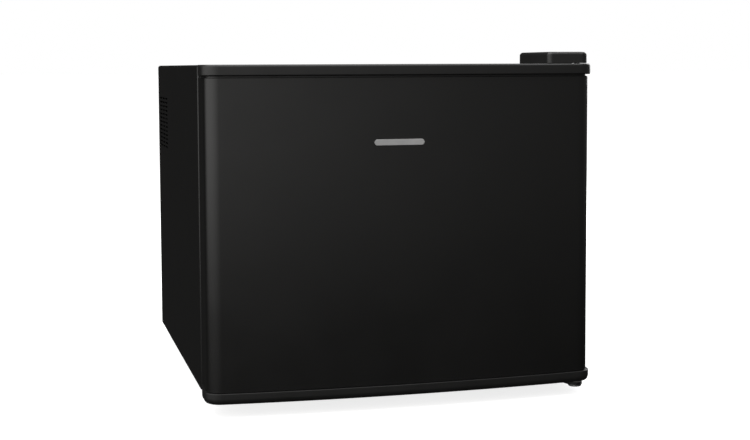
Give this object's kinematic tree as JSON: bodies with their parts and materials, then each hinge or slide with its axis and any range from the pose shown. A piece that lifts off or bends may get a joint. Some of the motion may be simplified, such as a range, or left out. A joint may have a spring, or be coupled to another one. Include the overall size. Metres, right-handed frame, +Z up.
{
  "type": "mini fridge",
  "caption": "Black table-top thermoelectric mini fridge with a bowed right-hung door, rear cooling compartment, wire shelf and door racks.",
  "frame": {"origin": "on the floor, under the middle of the whole object's box", "axes": "+Z up, the door faces -Y, +X is the hinge side (right, seen from the front)"},
  "size_m": [0.4088, 0.4568, 0.3608],
  "materials": {
    "painted_black": "satin",
    "black_plastic": "satin",
    "fan_plastic": "satin",
    "electrical_plastic": "satin",
    "white_plastic": "satin",
    "clear_plastic": "gloss",
    "transformer_wrap": "satin",
    "foam": "matte",
    "gasket": "matte",
    "foot_rubber": "matte",
    "nylon": "satin",
    "zinc_steel": "satin",
    "black_steel": "satin",
    "pin_steel": "satin",
    "chrome_wire": "polished",
    "aluminium": "satin",
    "ceramic": "matte",
    "circuit_board": "satin"
  },
  "bodies": {
    "cabinet": {"cabinet_shell": "painted_black", "hinge_cover": "black_plastic", "rear_cover": "black_plastic", "inner_fan_frame": "fan_plastic", "rear_fan_frame": "fan_plastic", "mains_inlet": "electrical_plastic", "power_switch_bezel": "electrical_plastic", "capacitor": "electrical_plastic", "inner_liner": "white_plastic", "inner_fan_cover": "white_plastic", "thermostat_housing": "white_plastic", "door_switch_sleeve": "white_plastic", "lamp_lens": "clear_plastic", "transformer": "transformer_wrap", "insulation_foam": "foam", "foot_front_left": "foot_rubber", "foot_front_right": "foot_rubber", "foot_rear_left": "foot_rubber", "foot_rear_right": "foot_rubber", "hinge_washer_top": "nylon", "hinge_washer_bottom": "nylon", "base_pan": "zinc_steel", "foam_back_plate": "zinc_steel", "hinge_plate_top": "zinc_steel", "hinge_plate_bottom": "black_steel", "hinge_screw_top_left": "black_steel", "hinge_screw_top_right": "black_steel", "hinge_screw_bottom_left": "black_steel", "hinge_screw_bottom_right": "black_steel", "rear_cover_screw_lower_left": "black_steel", "rear_cover_screw_lower_right": "black_steel", "rear_cover_screw_upper_left": "black_steel", "rear_cover_screw_upper_right": "black_steel", "hinge_pin_top": "pin_steel", "hinge_pin_bottom": "pin_steel", "cold_sink": "aluminium", "cold_block": "aluminium", "hot_sink": "aluminium", "peltier_module": "ceramic", "power_board": "circuit_board"},
    "door": {"door_panel": "painted_black", "door_cap_top": "black_plastic", "door_cap_bottom": "black_plastic", "door_liner": "white_plastic", "door_foam": "foam", "door_gasket": "gasket", "bottle_guard_lower": "clear_plastic", "bottle_guard_upper": "clear_plastic", "hinge_bush_top": "nylon", "hinge_bush_bottom": "nylon"},
    "inner_fan": {"inner_fan_rotor": "fan_plastic"},
    "rear_fan": {"rear_fan_rotor": "fan_plastic"},
    "thermostat_dial": {"thermostat_knob": "white_plastic"},
    "power_rocker": {"power_switch_rocker": "electrical_plastic"},
    "door_switch": {"door_switch_plunger": "white_plastic"},
    "shelf": {"wire_shelf": "chrome_wire"}
  },
  "joints": [
    {"name": "door_hinge", "type": "hinge", "parent": "cabinet", "child": "door", "pos_m": [0.1925, -0.1978, 0.18165], "axis": [0, 0, 1], "range_deg": [0, 120]},
    {"name": "shelf_slide", "type": "slide", "parent": "cabinet", "child": "shelf", "axis": [0, -1, 0], "range_m": [0, 0.015]},
    {"name": "thermostat_turn", "type": "hinge", "parent": "cabinet", "child": "thermostat_dial", "pos_m": [0.1338, -0.0374, 0.261], "axis": [-1, 0, 0], "range_deg": [0, 270]},
    {"name": "power_switch_rock", "type": "hinge", "parent": "cabinet", "child": "power_rocker", "pos_m": [-0.085, 0.2194, 0.062], "axis": [1, 0, 0], "range_deg": [0, 16]},
    {"name": "door_switch_press", "type": "slide", "parent": "cabinet", "child": "door_switch", "axis": [0, 1, 0], "range_m": [0, 0.004], "stiffness_N_per_m": 150, "springref_m": -0.003},
    {"name": "inner_fan_spin", "type": "hinge", "parent": "cabinet", "child": "inner_fan", "pos_m": [0, 0.0635, 0.2], "axis": [0, 1, 0], "continuous": true},
    {"name": "rear_fan_spin", "type": "hinge", "parent": "cabinet", "child": "rear_fan", "pos_m": [0, 0.1723, 0.2], "axis": [0, 1, 0], "continuous": true}
  ]
}
